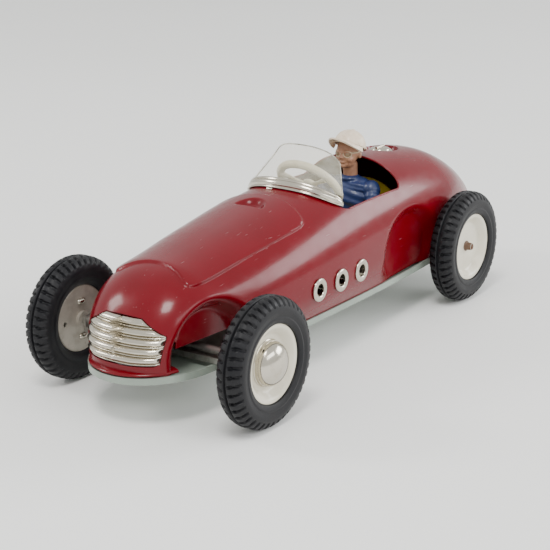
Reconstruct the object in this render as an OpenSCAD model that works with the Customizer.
// Friction-drive tin racing car with a driver. Millimetres, +Z up, nose towards -Y.
// The origin is on the ground under the middle of the car.

/* [Body] */
// Overall length over the nose lip and the tail
car_length = 269; // [262:0.5:276]
// Height of the body's lower edge above the ground
base_z = 21; // [20.6:0.1:22]
// Height of the widest line along the side
waist_z = 34; // [32:0.5:36]
// Thickness of the pressed body sheet
sheet = 0.8; // [0.6:0.1:1]
// Height that the bonnet panel is pressed up
panel_rise = 0.9; // [0.5:0.1:1.2]

/* [Wheels] */
// Radius of all four tyres
tyre_r = 25; // [25:0.1:25.2]
// Width of a tyre
tyre_w = 11.5; // [10.5:0.5:12]
// Outer radius of the visible wheel disc
rim_r = 15.3; // [15:0.1:15.6]
// Distance from the origin forward to the front axle
front_axle_y = 101; // [100:0.5:102]
// Distance from the origin back to the rear axle
rear_axle_y = 69; // [68.5:0.5:70]
// Half the front track, to the middle of the tyre
front_half_track = 46.2; // [45.5:0.1:47]
// Half the rear track, to the middle of the tyre
rear_half_track = 37; // [36.8:0.1:38]
// Radius of both axle rods
axle_r = 1.5; // [1.3:0.1:1.6]

/* [Friction motor] */
// Half the gap between the two motor plates
motor_half_gap = 9; // [8.5:0.5:10]
// Teeth on the rear axle's gear
axle_teeth = 20; // [20:1:20]
// Teeth on both pinions
pinion_teeth = 8; // [8:1:8]
// Teeth on the layshaft's gear
lay_teeth = 18; // [18:1:18]
// Gear module
gear_module = 0.5; // [0.5:0.1:0.5]
// Radius of the flywheels
flywheel_r = 10.5; // [9:0.5:10.5]

/* [Hidden] */
$fn = 48;

red = [0.62, 0.05, 0.07];
nickel = [0.80, 0.78, 0.72];
cream = [0.90, 0.87, 0.78];
steel = [0.62, 0.62, 0.60];
pale_green = [0.70, 0.74, 0.68];
rubber = [0.10, 0.10, 0.11];
brass = [0.72, 0.60, 0.32];
eps = 0.01;

// ---- Body surface: stations along the car, then a superellipse across it ----

// y, half-width at the waist, top height, half-width at the lower edge
stations = [
    [-132, 23.7, 55.2, 24.0], [-102, 26.8, 55.9, 25.4], [-68, 30.7, 60.7, 26.7],
    [-28, 32.4, 66.6, 27.8], [12, 31.7, 69.3, 28.1], [52, 30.2, 69.0, 26.9],
    [88, 27.8, 63.8, 24.5], [118, 24.3, 57.3, 21.3], [142, 20.3, 48.0, 17.7]
];
lip_reach = 2.5;                       // the lower lip stands this far ahead of the nose
nose_y = -car_length / 2 + lip_reach;
tail_y = car_length / 2;
nose_run = 30;                         // length over which the nose closes
tail_run = 64;                         // length over which the tail closes
nose_plan = 2.35;                      // superellipse powers of the two ends
nose_side = 1.9;
tail_power = 1.7;
section_power = 2.3;
end_stop = 0.998;                      // the ends stop just short of a point

// Slope of a station column at station i, from its neighbours
function slope(i, col) = let(a = max(i - 1, 0), b = min(i + 1, len(stations) - 1))
    (stations[b][col] - stations[a][col]) / (stations[b][0] - stations[a][0]);

// Smooth cubic value of a station column at y
function station_at(y, col, i = 0) =
    (i < len(stations) - 2 && y > stations[i + 1][0]) ? station_at(y, col, i + 1) :
    let(h = stations[i + 1][0] - stations[i][0], t = (y - stations[i][0]) / h)
    (2 * t^3 - 3 * t^2 + 1) * stations[i][col] + (t^3 - 2 * t^2 + t) * h * slope(i, col)
    + (3 * t^2 - 2 * t^3) * stations[i + 1][col] + (t^3 - t^2) * h * slope(i + 1, col);

// How far the ends have closed at y: 1 along the car, falling to 0 at a tip
function nose_part(y, inset) = min(end_stop, max(0, (nose_y + inset + nose_run - y) / nose_run));
function tail_part(y, inset) = min(end_stop, max(0, (y - tail_y + inset + tail_run) / tail_run));
function closing(t, p) = (1 - t^p)^(1 / p);
function plan_close(y, inset) = closing(nose_part(y, inset), nose_plan) * closing(tail_part(y, inset),
    tail_power);
function side_close(y, inset) = closing(nose_part(y, inset), nose_side) * closing(tail_part(y, inset),
    tail_power);

function waist_w(y, inset) = (station_at(y, 1) - inset) * plan_close(y, inset);
function base_w(y, inset) = (station_at(y, 3) - inset) * plan_close(y, inset);
function top_z(y, inset) = base_z + (station_at(y, 2) - inset - base_z) * side_close(y, inset);
function waist_at(y, inset) = base_z + (waist_z - base_z) * side_close(y, inset);

// Half-width of the body at height z
function half_w(y, z, inset = 0) = z < waist_at(y, inset)
    ? base_w(y, inset) + (waist_w(y, inset) - base_w(y, inset))
        * sin(90 * max(0, z - base_z) / (waist_at(y, inset) - base_z))
    : waist_w(y, inset) * max(0, 1 - ((z - waist_at(y, inset)) / (top_z(y, inset) - waist_at(y, inset)))
        ^ section_power)^(1 / section_power);

// Levels of a section: shares of the height up to the waist, then angles from the waist to the top
low_levels = [0, 0.3, 0.62, 0.81];
high_levels = [0, 14, 28, 41, 46, 50, 60, 70, 80, 90];
slot_level = 2;                        // the axle openings end at this level
cockpit_level = len(low_levels) + 3;   // the cockpit's side edges
panel_level = len(low_levels) + 5;     // the bonnet panel's side edges
levels = len(low_levels) + len(high_levels);

// The point of a section at level k, as [x, z]
function level_point(y, k, inset) = k < len(low_levels)
    ? let(s = low_levels[k]) [base_w(y, inset) + (waist_w(y, inset) - base_w(y, inset)) * sin(90 * s),
        base_z + (waist_at(y, inset) - base_z) * s]
    : let(a = high_levels[k - len(low_levels)]) [waist_w(y, inset) * max(cos(a), 0)^(2 / section_power),
        waist_at(y, inset) + (top_z(y, inset) - waist_at(y, inset)) * sin(a)^(2 / section_power)];

// A closed loft through sections; each ring has the same number of points
module loft(rings) {
    m = len(rings[0]);
    n = len(rings);
    polyhedron(
        points = [for (r = rings) each r],
        faces = concat(
            [[for (k = [0 : m - 1]) k]],
            [[for (k = [m - 1 : -1 : 0]) (n - 1) * m + k]],
            [for (i = [0 : n - 2]) for (k = [0 : m - 1]) let(a = i * m + k, b = i * m + (k + 1) % m) [a,
                a + m, b]],
            [for (i = [0 : n - 2]) for (k = [0 : m - 1]) let(a = i * m + k, b = i * m + (k + 1) % m)
                [b, a + m, b + m]]));
}

// 1 inside an oval round [y, z] = c with half-axes r, falling to 0 over its rim
function oval(y, z, c, r) = let(d = norm([(y - c[0]) / r[0], (z - c[1]) / r[1]]), t = min(1, max(0,
    (1.06 - d) / 0.16)))
    t * t * (3 - 2 * t);
// Half-width after the hollows round the axles are pressed in
function pressed(x, y, z, inset) = let(a = oval(y, z, [arch_y, tyre_r], [arch_r, arch_r]),
        b = oval(y, z, [hip_y, hip_z], hip_r),
        xa = min(x, arch_floor - inset + 0.1 * (y - arch_y)), xb = min(x,
            hip_floor - inset - 0.05 * (y - hip_y)))
    x + a * (xa - x) + b * (xb - x);
function panel_here(y, k) = k >= panel_level && y > -105 && y < -37 ? panel_rise : 0;

// A point of the shell at ring position k, counted from the left edge over the top to the right edge
function shell_point(y, k, inset) = let(side = k < levels ? 1 : -1, kk =
    k < levels ? k : 2 * levels - 2 - k,
        p = level_point(y, kk, inset - panel_here(y, kk)))
    [side * pressed(p[0], y, p[1], inset), y, p[1]];

// ---- Cuts and outlines in the body ----

grille_y = -125.6;                     // the grille fills the nose ahead of this plane
grille_z = 24.8;                       // and above this height
arch_y = -103;                         // centre of the hollow round the front axle
arch_r = 19;
arch_floor = 18.5;                     // half-width of the body inside that hollow
hip_y = 33;                            // centre of the oval hollow ahead of the rear wheel
hip_z = 32;
hip_r = [24, 17.5];
hip_floor = 26;
eyelet_y = [-43, -27.5, -12];
eyelet_z = 34;
eyelet_r = 4.8;
eyelet_hole = 2.6;
cockpit_back = 34;
screen_y = -25;                        // front of the windscreen's foot
screen_run = 16;                       // its foot is half an ellipse this long
screen_w = 25;
filler_y = 56;
filler_r = 5.4;
axle_clear = 0.5;                      // gap round the rear axle where it leaves the body
cockpit_front = -21.5;
// Places along the car where the shell's rings lie
shell_y = concat([grille_y, -120, -112, -103, -94, -86], [for (k = [1 : 5]) -86 + k * 9.6], [-37.2,
    -36.8, -29],
    [for (k = [0 : 6]) cockpit_front + k * (cockpit_back - cockpit_front) / 6],
    [for (k = [1 : 16]) cockpit_back + (tail_y - cockpit_back) * sin(90 * k / 16)]);
// Is the cell between rings i and i + 1, levels k and k + 1, sheet metal or an opening?
function solid_cell(i, k) = let(y = (shell_y[i] + shell_y[i + 1]) / 2, kk =
    k < levels - 1 ? k : 2 * levels - 3 - k)
    !(kk < slot_level && y > -120 && y < -86) && !(kk >=
        cockpit_level && y > cockpit_front && y < cockpit_back);
function cell_kept(i, k) = i >= 0 && i < len(shell_y) - 1 && k >=
    0 && k < 2 * levels - 2 && solid_cell(i, k);

module shell_form() {
    n = len(shell_y);
    m = 2 * levels - 1;
    // inner points follow the outer ones in the list
    function at(i, k) = i * m + k;
    function within(i, k) = (n + i) * m + k;
    polyhedron(
        points = concat([for (y = shell_y) for (k = [0 : m - 1]) shell_point(y, k, 0)],
            [for (y = shell_y) let(yy = y > tail_y - 1 ? y - sheet : y) for (k = [0 : m - 1])
                shell_point(yy, k, sheet)]),
        faces = concat(
            [for (i = [0 : n - 2]) for (k = [0 : m - 2]) if (solid_cell(i, k)) each [
                [at(i, k), at(i, k + 1), at(i + 1, k)], [at(i, k + 1), at(i + 1, k + 1), at(i + 1, k)],
                [within(i, k), within(i + 1, k), within(i, k + 1)],
                [within(i, k + 1), within(i + 1, k), within(i + 1, k + 1)]]],
            [for (i = [0 : n - 2]) for (k = [0 : m - 2]) if (solid_cell(i, k)) each concat(
                cell_kept(i, k - 1) ? [] : wall(at(i, k), at(i + 1, k), within(i, k), within(i + 1, k)),
                cell_kept(i, k + 1) ? [] : wall(at(i + 1, k + 1), at(i, k + 1), within(i + 1, k + 1),
                    within(i, k + 1)),
                cell_kept(i - 1, k) ? [] : wall(at(i, k + 1), at(i, k), within(i, k + 1), within(i, k)),
                cell_kept(i + 1, k) || i == n - 2 ? []
                    : wall(at(i + 1, k), at(i + 1, k + 1), within(i + 1, k), within(i + 1, k + 1)))],
            // the tail's tip is closed outside and inside, and along its short lower edge
            [[for (k = [0 : m - 1]) at(n - 1, k)], [for (k = [m - 1 : -1 : 0]) within(n - 1, k)],
                [at(n - 1, 0), at(n - 1, m - 1), within(n - 1, 0)],
                [at(n - 1, m - 1), within(n - 1, m - 1), within(n - 1, 0)]]));
}
// Two triangles across the sheet's edge
function wall(a, b, c, d) = [[a, b, c], [b, d, c]];

// Outline in plan of the lower edge, moved outwards by grow, with the lip at the front
module base_outline(grow = 0) {
    polygon(concat(
        [for (i = [0 : 48]) let(y = (nose_y + tail_y) / 2 - (tail_y - nose_y) / 2 * cos(180 * i / 48))
            [base_w(y, -grow), y]],
        [for (i = [48 : -1 : 0]) let(y = (nose_y + tail_y) / 2 - (tail_y - nose_y) / 2 * cos(180 * i / 48))
            [-base_w(y, -grow), y]]));
    lip_outline(grow);
}
module lip_outline(grow = 0) {
    intersection() {
        translate([0, -112.5]) scale([21.8 + grow, 22 + min(grow, 0)]) circle(r = 1);
        translate([-30, -140]) square([60, 19]);
    }
}

module body_shell() color(red) {
    difference() {
        shell_form();
        for (side = [-1, 1], y = eyelet_y) translate([side * 32, y, eyelet_z]) rotate([0, 90, 0])
            cylinder(r = eyelet_hole + 0.7, h = 12, center = true);
        translate([0, filler_y, 60]) cylinder(r = filler_r + 0.4, h = 12);
        translate([0, rear_axle_y, tyre_r]) rotate([0, 90, 0])
            cylinder(r = axle_r + axle_clear, h = 80, center = true);
    }
    // apron and lip below the grille, tucked into the shell's side walls
    translate([0, 0, base_z + 0.1]) linear_extrude(grille_z - base_z - 0.2)
        nose_crescent(base_z + 1.6, -0.3, sheet, grille_y + 1.7);
    translate([0, 0, base_z + 0.05]) linear_extrude(1.5) difference() {
        lip_outline();
        polygon(concat(nose_half(base_z + 1.6, -0.7, grille_y - 0.1), [[0, grille_y + 9]],
            [for (k = [12 : -1 : 0]) let(p = nose_half(base_z + 1.6, -0.7, grille_y - 0.1)[k]) [-p[0],
                p[1]]]));
        translate([-30, grille_y - 0.1]) square([60, 20]);
    }
}

// Shallow tray that closes the body from below
tray_floor = 0.8;
tray_z = 18.3;
pivot_bore = 2.03;
pivot_head = 3.15;                     // countersunk, flush with the tray's underside
pivot_sink = 0.6;
module base_plate() color(pale_green) difference() {
    translate([0, 0, tray_z]) linear_extrude(base_z - tray_z - 0.1) base_outline(0.5);
    translate([0, 0, tray_z + tray_floor]) linear_extrude(5) base_outline(-0.4);
    translate([0, -front_axle_y, tray_z - 1]) cylinder(r = pivot_bore, h = 5);
    translate([0, -front_axle_y, tray_z]) cylinder(r1 = pivot_head + 0.05, r2 = pivot_bore, h = pivot_sink);
}

// ---- Fittings on the body ----

grille_bars = 5;
grille_top = 41.4;
bar_pitch = (grille_top - grille_z - 0.2) / grille_bars;
// Plan outline of the nose at height z, moved outwards by out, back to the plane y_back
function tip_y(z) = nose_y + nose_run * (1 - (1 - (max(z - base_z, 0) / (station_at(nose_y, 2)
    - base_z))^nose_side)
    ^ (1 / nose_side));
function nose_half(z, out, y_back) = let(y0 = tip_y(z) + 0.05, n = 12)
    [for (k = [0 : n]) let(y = y_back - (y_back - y0) * (1 - (k / n)^2)) [max(half_w(y, z) + out, 0.1),
        y - out * 0.8]];
// The whole nose ahead of y_back as a plan outline
module nose_tip(z, out, y_back) let(edge = nose_half(z, out, y_back))
    polygon(concat(edge, [for (k = [len(edge) - 1 : -1 : 0]) [-edge[k][0], edge[k][1]]]));
module nose_crescent(z, out, thick, y_back) {
    outer = nose_half(z, out, y_back);
    inner = nose_half(z, out - thick, y_back);
    difference() {
        polygon(concat(outer, [for (k = [len(outer) - 1 : -1 : 0]) [-outer[k][0], outer[k][1]]]));
        polygon(concat([[inner[0][0], inner[0][1] + thick * 0.6]], [for (p = inner) p],
            [[inner[len(inner) - 1][0], y_back + 9]],
            [[-inner[len(inner) - 1][0], y_back + 9]],
            [for (k = [len(inner) - 1 : -1 : 0]) [-inner[k][0], inner[k][1]]]));
    }
}
// Five bars pressed in one sheet, wrapped round the nose; its back is hollowed out
module radiator_grille() color(nickel) difference() {
    for (i = [0 : grille_bars - 1]) let(z = grille_z + 0.2 + i * bar_pitch) {
        translate([0, 0, z]) linear_extrude(bar_pitch * 0.72) nose_tip(z + bar_pitch * 0.3, 0.2,
            grille_y - 0.1);
        if (i < grille_bars - 1) translate([0, 0, z + bar_pitch * 0.72 - eps])
            linear_extrude(bar_pitch * 0.28 + 2 * eps) nose_tip(z + bar_pitch * 0.8, -0.9, grille_y - 0.1);
    }
    translate([-9, grille_y - 2.4, grille_z + 1.8]) cube([18, 5, 7]);
}

module side_eyelets() color(nickel)
    for (s = [-1, 1], y = eyelet_y) let(x = half_w(y, eyelet_z) + 0.02)
        translate([s * x, y, eyelet_z]) rotate([0, s * 90, 0]) difference() {
            union() {
                rotate_extrude() polygon([[eyelet_hole, 0], [eyelet_r, 0], [eyelet_r - 0.2, 0.6],
                    [eyelet_r - 1, 1.1],
                    [eyelet_hole + 0.4, 0.9], [eyelet_hole, 0.3]]);
                translate([0, 0, -2]) cylinder(r = eyelet_hole + 0.6, h = 2.3);
            }
            translate([0, 0, -3]) cylinder(r = eyelet_hole, h = 6);
        }

// Foot of the windscreen on the body, at angle a from the middle: a half ellipse in plan
function foot(a, w, run) = [w * sin(a), screen_y + run * (1 - cos(a))];
function foot_z(a) = let(p = foot(a, screen_w - 1.2, screen_run))
    let(y = p[1], x = abs(p[0])) waist_at(y, 0) + (top_z(y, 0) - waist_at(y, 0))
        * (1 - min(1, x / waist_w(y, 0))^section_power)^(1 / section_power);
screen_end = 74;                       // half the angle that the windscreen goes round
// Section of the nickel frame, as [outwards, upwards], and how far it leans back as it rises
frame_section = [[-0.9, 0], [1.6, 0.1], [1.9, 1.2], [1.3, 2.9], [0.5, 4.6], [-0.3, 4.6], [-0.6, 2.4]];
frame_lean = 0.35;
frame_steps = 28;
module windscreen_frame() color(nickel) loft([for (k = [0 : frame_steps])
    let(a = (screen_end + 3) * (2 * k / frame_steps - 1), p = foot(a, screen_w - 1.2, screen_run),
        z = foot_z(a) + 0.35, n = [sin(a), -cos(a)], t = 1 - 0.45 * abs(sin(a))^6)
    [for (q = frame_section)
        [p[0] + n[0] * q[0] * t, p[1] + n[1] * q[0] * t + frame_lean * q[1], z + q[1] * t]]]);

screen_tip = [0, 16, 100.5];           // the clear sheet is bent round a cone with this tip
screen_foot = [1.7, 5.15];             // its lower edge lies this far behind and above the foot
screen_mid = 0.374;                    // share of the way to the tip that the sheet reaches
screen_side = 0.274;                   // and the same at its ends
screen_t = 0.5;
// A point of the sheet at angle a, a share v of its height, off its middle face by off
function screen_point(a, v, off) = let(p = foot(a, screen_w - 1.2, screen_run),
        reach = screen_mid + (screen_side - screen_mid) * abs(a / screen_end)^6,
        low = [p[0] + off * sin(a), p[1] - off * cos(a) + screen_foot[0], foot_z(a) + screen_foot[1]])
    low + v * reach * (screen_tip - [p[0], p[1], foot_z(a)]);
module windscreen() color([0.93, 0.90, 0.74, 0.4]) {
    loft([for (k = [0 : 24]) let(a = screen_end * (k / 12 - 1)) concat(
        [for (v = [0 : 0.5 : 1]) screen_point(a, v, screen_t / 2)],
        [for (v = [1 : -0.5 : 0]) screen_point(a, v, -screen_t / 2)])]);
}

filler_z = 66.5;                       // underside of the cap's flange, just below the sheet
module filler_cap() color(nickel) translate([0, filler_y, filler_z]) {
    cylinder(r = 6.8, h = 0.8);
    cylinder(r = filler_r, h = 1.8);
    translate([0, 0, 1.7]) cylinder(r1 = filler_r - 0.3, r2 = 3.6, h = 0.9);
    translate([-0.6, -3.4, 2.5]) cube([1.2, 6.8, 0.7]);
}

// ---- Cockpit ----

seat_z = 40;
seat_y = 44;
module seat_pan() color([0.62, 0.50, 0.10]) {
    // floor under the driver, then the arched back behind the shoulders
    translate([-19, 4, seat_z]) cube([38, seat_y - 4, 0.8]);
    translate([0, seat_y + 0.8, seat_z]) rotate([90, 0, 0]) linear_extrude(0.8) {
        translate([-19, 0]) square([38, 8]);
        intersection() {
            translate([0, 2]) circle(r = 21);
            translate([-19, 7]) square([38, 20]);
        }
    }
    for (s = [-1, 1]) translate([s * 18.6 - 0.4, 4, tray_z + tray_floor]) cube([0.8, 30,
        seat_z - tray_z - tray_floor + 0.8]);
}

wheel_pos = [0, -1.4, 63.9];           // centre of the steering wheel
wheel_tilt = 50;                       // its plane leans by this from level, top edge forward
steer_r = 15.4;
column_r = 1.4;
column_len = 30;
module on_column() translate(wheel_pos) rotate([-wheel_tilt, 0, 0]) children();
module steering_wheel() color(cream) on_column() {
    rotate_extrude() translate([steer_r - 1.7, 0]) circle(r = 1.7);
    difference() {
        union() {
            for (a = [90, 210, 330]) rotate([0, 0, a]) translate([0, -1.1, -1.6]) cube([steer_r - 1.6,
                2.2, 1.6]);
            translate([0, 0, -2.2]) cylinder(r = 3, h = 3);
        }
        translate([0, 0, -3]) cylinder(r = column_r, h = 3.6);
    }
}
module steering_column() color(steel) on_column() translate([0, 0, -column_len]) cylinder(r = column_r,
    h = column_len + 0.6);
module column_bracket() color(steel) difference() {
    union() {
        on_column() translate([0, 0, -22]) difference() {
            cylinder(r = 3.2, h = 6);
            translate([0, 0, -1]) cylinder(r = column_r + 0.05, h = 8);
        }
        bracket_strap();
    }
    on_column() translate([0, 0, -column_len - 1]) cylinder(r = column_r + 0.05, h = column_len + 4);
}
module bracket_strap() {
    // upright strap from the tray to the bearing
    translate([-5, -17, tray_z + tray_floor]) cube([10, 1.2, 31]);
    translate([-5, -23, tray_z + tray_floor]) cube([10, 7.2, 1]);
}

// ---- Driver ----

driver_y = 30;
module driver_torso() color([0.16, 0.24, 0.45]) {
    difference() {
        union() {
            // hips to chest to shoulders
            hull() {
                translate([0, driver_y + 1, seat_z + 3.4]) scale([1.35, 1, 0.3]) sphere(r = 8, $fn = 24);
                translate([0, driver_y + 0.5, 50]) scale([1.25, 0.8, 0.8]) sphere(r = 8.2, $fn = 28);
            }
            hull() {
                translate([0, driver_y + 0.5, 50]) scale([1.25, 0.8, 0.8]) sphere(r = 8.2, $fn = 28);
                translate([0, driver_y + 1.5, 57.2]) scale([1.6, 0.8, 0.55]) sphere(r = 7.4, $fn = 28);
            }
            for (s = [-1, 1]) {
                hull() {
                    translate([s * 10.6, driver_y + 1, 56.5]) sphere(r = 3.6, $fn = 20);
                    translate([s * 14.4, driver_y - 3, 49]) sphere(r = 3.2, $fn = 20);
                }
                hull() {
                    translate([s * 14.4, driver_y - 3, 49]) sphere(r = 3.2, $fn = 20);
                    translate([s * 12.2, driver_y - 13, 50]) sphere(r = 2.3, $fn = 20);
                }
            }
        }
        translate([0, driver_y + 0.5, 56]) cylinder(r = 3.3, h = 12);
    }
}
module driver_head() color([0.72, 0.48, 0.36]) {
    translate([0, driver_y + 0.5, 56.5]) cylinder(r = 3.1, h = 8);
    hull() {
        translate([0, driver_y - 1.3, 72.2]) scale([0.92, 0.9, 1]) sphere(r = 6, $fn = 32);
        translate([0, driver_y - 2.2, 66.8]) scale([0.9, 1, 0.9]) sphere(r = 3.6, $fn = 24);
    }
    hull() {
        translate([0, driver_y - 6.2, 72.4]) sphere(r = 0.9, $fn = 16);
        translate([0, driver_y - 7.1, 69.8]) sphere(r = 1.1, $fn = 16);
    }
}
goggle_z = 71.5;
module driver_goggles() color([0.85, 0.80, 0.68])
    for (s = [-1, 1]) translate([s * 2.6, driver_y - 6.6, goggle_z]) rotate([90, 0, s * 18])
        rotate_extrude()
        translate([1.8, 0]) circle(r = 0.45, $fn = 16);
cap_tilt = 25;                         // the cap sits back on the head, visor up
module driver_cap() color([0.90, 0.84, 0.74]) difference() {
    translate([0, driver_y + 0.3, 74.4]) rotate([-cap_tilt, 0, 0]) {
        difference() {
            scale([1, 1.12, 1.02]) sphere(r = 7.2, $fn = 32);
            translate([-12, -14, -14]) cube([24, 28, 14]);
        }
        intersection() {
            translate([0, -6.3, 0.5]) scale([1, 1.15, 1]) cylinder(r = 6.4, h = 1, center = true);
            translate([-12, -20, -8]) cube([24, 14, 14]);
        }
    }
    translate([0, driver_y - 0.2, 72.2]) scale([0.92, 1.08, 1]) sphere(r = 6.25, $fn = 32);
}

// ---- Wheels: each is built at the origin with its outer side towards +X ----

rim_plane = 4.2;                       // the disc's lip stands this far outboard of the tyre's middle
disc_dish = 3.1;                       // and its centre lies this far behind the lip
disc_t = 0.7;
inner_plane = -2.8;
inner_r = 13.9;
module about_x() rotate([0, 90, 0]) children();
module tyre() color(rubber) about_x() rotate_extrude() {
    w = tyre_w / 2;
    polygon([[13.2, -2.0], [14.4, -w + 1.6], [16.5, -w + 0.3], [19.2, -w], [22.4, -w + 0.7], [24,
        -w + 2.2], [tyre_r, -w + 3.6],
        [tyre_r, -0.8], [24.2, -0.5], [24.2, 0.5], [tyre_r, 0.8], [tyre_r, w - 3.6], [24, w - 2.2],
            [22.4, w - 0.7],
        [19.2, w], [16.5, w - 0.3], [rim_r + 0.25, w - 0.9], [rim_r + 0.25, 3.2], [13.2, 2.6]]);
}
module outer_disc(bore) color(cream) about_x() difference() {
    rotate_extrude() polygon([[bore, rim_plane - disc_dish - disc_t], [10.2,
        rim_plane - disc_dish - disc_t],
        [12.9, rim_plane - disc_t - 0.4], [rim_r - 1.2, rim_plane - disc_t], [rim_r, rim_plane - 0.9],
        [rim_r, rim_plane - 0.3], [rim_r - 0.7, rim_plane], [13.4, rim_plane - 0.2], [10.6,
            rim_plane - disc_dish],
        [bore, rim_plane - disc_dish]]);
    rotate([0, 0, 130]) translate([11.7, 0, 0]) cylinder(r = 0.8, h = 6);
}
module inner_disc(bore) color([0.60, 0.57, 0.50]) about_x() difference() {
    union() {
        rotate_extrude() polygon([[bore, inner_plane - 0.7], [inner_r - 0.6, inner_plane - 0.7],
            [inner_r, inner_plane],
            [12.9, inner_plane + 0.6], [bore, inner_plane]]);
        translate([0, 0, inner_plane - 2.2]) difference() {
            cylinder(r = 3.2, h = 2.2);
            translate([0, 0, -1]) cylinder(r = bore, h = 5);
        }
        for (s = [-1, 1]) translate([s * 7.3 - 1.2, -0.4, inner_plane - 1.3]) cube([2.4, 0.8, 1]);
    }
    translate([0, -9.5, inner_plane - 2]) cylinder(r = 1.1, h = 4);
}
cap_plane = rim_plane - disc_dish + 0.02;
module hub_cap() color(nickel) about_x() rotate_extrude() intersection() {
    difference() {
        union() {
            translate([0, cap_plane]) square([8.9, 0.5]);
            translate([0, cap_plane]) polygon([[0, 0], [8.75, 0], [8.6, 1.7], [0, 1.7]]);
            translate([0, cap_plane + 1.7]) scale([1, 5.3 / 8.6]) circle(r = 8.6);
        }
        translate([0, cap_plane - 0.01]) polygon([[0, 0], [8.0, 0], [7.9, 1.7], [0, 1.7]]);
        translate([0, cap_plane + 1.7]) scale([1, 4.6 / 7.9]) circle(r = 7.9);
        translate([0, cap_plane - 20]) square([20, 20]);
    }
    translate([0, cap_plane]) square([20, 20]);
}

front_bore = axle_r + 0.05;            // runs on the axle
rear_bore = axle_r;                    // pressed on the axle
module at_front(side) translate([side * front_half_track, -front_axle_y, tyre_r])
    mirror([side < 0 ? 1 : 0, 0, 0]) children();
module at_rear(side) translate([side * rear_half_track, rear_axle_y, tyre_r]) mirror([side < 0 ? 1 : 0,
    0, 0]) children();

// ---- Front axle, swinging on a rivet through the tray ----

ear_x = 37.5;                          // where the beam's ears carry the axle
beam_z = base_z + 0.3;
beam_w = 8;
module front_axle_beam() color(steel) translate([0, -front_axle_y, 0]) difference() {
    union() {
        translate([-ear_x, -beam_w / 2, beam_z]) cube([2 * ear_x, beam_w, 0.8]);
        for (s = [-1, 1]) translate([s * ear_x - 0.5, -beam_w / 2, beam_z]) cube([1, beam_w, 7]);
        for (s = [-1, 1]) translate([-ear_x, s * (beam_w / 2 - 0.4) - 0.4, beam_z]) cube([2 * ear_x, 0.8,
            2.2]);
    }
    translate([0, 0, tyre_r]) rotate([0, 90, 0]) cylinder(r = axle_r, h = 100, center = true);
    translate([0, 0, beam_z - 1]) cylinder(r = 2.05, h = 3);
}
front_axle_half = front_half_track + 3.6;
module front_axle() color(steel) translate([0, -front_axle_y, tyre_r]) rotate([0, 90, 0])
    cylinder(r = axle_r, h = 2 * front_axle_half, center = true);
module pivot_rivet() color(brass) translate([0, -front_axle_y, 0]) {
    translate([0, 0, tray_z]) cylinder(r1 = pivot_head, r2 = 2, h = pivot_sink);
    translate([0, 0, tray_z + 0.1]) cylinder(r = 2, h = beam_z + 0.9 - tray_z);
    translate([0, 0, beam_z + 0.85]) cylinder(r = 3.2, h = 0.6);
}
module pivot_spacer() color(steel) translate([0, -front_axle_y, tray_z + tray_floor + 0.01]) difference() {
    cylinder(r = 4.5, h = beam_z - tray_z - tray_floor - 0.05);
    translate([0, 0, -1]) cylinder(r = 2.03, h = 6);
}

// ---- Friction motor ----

lay_angle = 120;                       // direction from the axle to the layshaft, about +X
fly_angle = 120;                       // and from the layshaft to the flywheel shaft
axle_to_lay = gear_module * (axle_teeth + pinion_teeth) / 2 + 0.06;
lay_to_fly = gear_module * (lay_teeth + pinion_teeth) / 2 + 0.06;
axle_pos = [rear_axle_y, tyre_r];
lay_pos = axle_pos + axle_to_lay * [cos(lay_angle), sin(lay_angle)];
fly_pos = lay_pos + lay_to_fly * [cos(fly_angle), sin(fly_angle)];
shaft_r = 0.9;
plate_t = 1;
axle_gear_x = 4.5;                     // the two gear meshes lie side by side
lay_gear_x = -3.5;
gear_w = 3;

module at_shaft(p, x = 0) translate([x, p[0], p[1]]) rotate([0, 90, 0]) children();
// Straight-flanked teeth round a disc; phase turns the first tooth, in degrees
module gear(teeth, width, bore, phase = 0) {
    r = gear_module * teeth / 2;
    step = 360 / teeth;
    difference() {
        translate([0, 0, -width / 2]) linear_extrude(width) difference() {
            polygon([for (k = [0 : teeth - 1]) for (q = [[-0.27, -1.1], [-0.14, 0.9], [0.14, 0.9], [0.27,
                -1.1]])
                let(a = phase + step * (k + q[0]), d = r + gear_module * q[1]) [d * cos(a), d * sin(a)]]);
            circle(r = bore);
        }
        translate([0, 0, -width]) cylinder(r = bore, h = 2 * width);
    }
}
axle_phase = 0;
function mate_phase(own_teeth, other_teeth, other_phase, dir) =
    let(line = dir, frac = (line - other_phase) * other_teeth / 360)
    line + 180 + (frac - floor(frac)) * 360 / own_teeth + 180 / own_teeth;
// +Y in the car is +Y in the gear's plane and +Z is -X, so a direction a becomes a + 90
lay_dir = lay_angle + 90;
fly_dir = fly_angle + 90;
lay_pinion_phase = mate_phase(pinion_teeth, axle_teeth, axle_phase, lay_dir);
fly_pinion_phase = mate_phase(pinion_teeth, lay_teeth, 0, fly_dir);

module rear_axle() color(steel) at_shaft(axle_pos) cylinder(r = axle_r, h =
    2 * (rear_half_track + rim_plane), center = true);
module axle_gear() color(brass) at_shaft(axle_pos, axle_gear_x) gear(axle_teeth, gear_w, axle_r,
    axle_phase);
module axle_collars() color(steel) for (s = [-1, 1]) at_shaft(axle_pos, s * 17.5) difference() {
    cylinder(r = 2.3, h = 14, center = true);
    cylinder(r = axle_r, h = 30, center = true);
}
module layshaft() color(steel) at_shaft(lay_pos) cylinder(r = shaft_r, h =
    2 * (motor_half_gap + plate_t), center = true);
module layshaft_pinion() color(brass) at_shaft(lay_pos, axle_gear_x) gear(pinion_teeth, gear_w + 0.6,
    shaft_r, lay_pinion_phase);
module layshaft_gear() color(brass) at_shaft(lay_pos, lay_gear_x) gear(lay_teeth, 2, shaft_r, 0);
fly_w = 5;
fly_gap = 1.6;
fly_x = motor_half_gap + plate_t + fly_gap;
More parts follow.
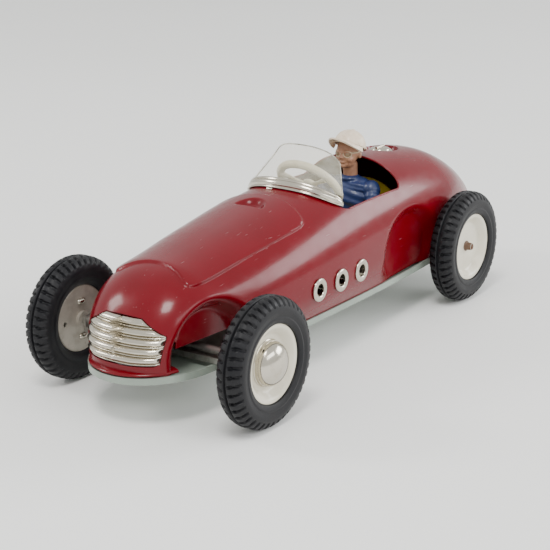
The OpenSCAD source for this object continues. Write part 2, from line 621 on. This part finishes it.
module flywheel_shaft() color(steel) at_shaft(fly_pos) cylinder(r = shaft_r, h = 2 * (fly_x + fly_w),
    center = true);
module flywheel_pinion() color(brass) at_shaft(fly_pos, lay_gear_x) gear(pinion_teeth, 2.6, shaft_r,
    fly_pinion_phase);
module flywheel(side) color([0.45, 0.45, 0.47]) at_shaft(fly_pos, side * (fly_x + fly_w / 2))
    rotate_extrude()
    polygon([[shaft_r, -fly_w / 2], [4, -fly_w / 2], [4, -1], [8, -1], [8, -fly_w / 2],
        [flywheel_r - 0.4, -fly_w / 2],
        [flywheel_r, -fly_w / 2 + 0.4], [flywheel_r, fly_w / 2 - 0.4], [flywheel_r - 0.4, fly_w / 2], [8,
            fly_w / 2],
        [8, 1], [4, 1], [4, fly_w / 2], [shaft_r, fly_w / 2]]);
plate_box = [[50, 18.9], [78, 46]];    // lower and upper corners of a motor plate, as [y, z]
pillar_pos = [[53, 23], [75, 42], [52, 44]];
pillar_r = 1.5;
module motor_plate(side) color(steel) translate([side * (motor_half_gap + plate_t / 2), 0, 0])
    difference() {
    union() {
        translate([-plate_t / 2, plate_box[0][0], tray_z + tray_floor])
            cube([plate_t, plate_box[1][0] - plate_box[0][0], plate_box[1][1] - tray_z - tray_floor]);
        translate([side > 0 ? -plate_t / 2 : -4 + plate_t / 2, plate_box[0][0], tray_z + tray_floor])
            cube([4, plate_box[1][0] - plate_box[0][0], plate_t]);
    }
    at_shaft(axle_pos) cylinder(r = axle_r + 0.05, h = 12, center = true);
    at_shaft(lay_pos) cylinder(r = shaft_r + 0.05, h = 12, center = true);
    at_shaft(fly_pos) cylinder(r = shaft_r + 0.05, h = 12, center = true);
}
module motor_pillars() color(brass) for (p = pillar_pos) at_shaft(p) cylinder(r = pillar_r, h =
    2 * motor_half_gap, center = true);

body_shell();
base_plate();
radiator_grille();
side_eyelets();
windscreen();
windscreen_frame();
filler_cap();
seat_pan();
column_bracket();
steering_column();
steering_wheel();
driver_torso();
driver_head();
driver_goggles();
driver_cap();
front_axle_beam();
front_axle();
pivot_rivet();
pivot_spacer();
at_front(1) tyre();  // front_left_tyre
at_front(1) outer_disc(front_bore);  // front_left_outer_disc
at_front(1) inner_disc(front_bore);  // front_left_inner_disc
at_front(1) hub_cap();  // front_left_hub_cap
at_front(-1) tyre();  // front_right_tyre
at_front(-1) outer_disc(front_bore);  // front_right_outer_disc
at_front(-1) inner_disc(front_bore);  // front_right_inner_disc
at_front(-1) hub_cap();  // front_right_hub_cap
at_rear(1) tyre();  // rear_left_tyre
at_rear(1) outer_disc(rear_bore);  // rear_left_outer_disc
at_rear(1) inner_disc(rear_bore);  // rear_left_inner_disc
at_rear(-1) tyre();  // rear_right_tyre
at_rear(-1) outer_disc(rear_bore);  // rear_right_outer_disc
at_rear(-1) inner_disc(rear_bore);  // rear_right_inner_disc
rear_axle();
axle_gear();
axle_collars();
motor_plate(1);  // motor_plate_left
motor_plate(-1);  // motor_plate_right
motor_pillars();
layshaft();
layshaft_pinion();
layshaft_gear();
flywheel_shaft();
flywheel_pinion();
flywheel(1);  // flywheel_left
flywheel(-1);  // flywheel_right
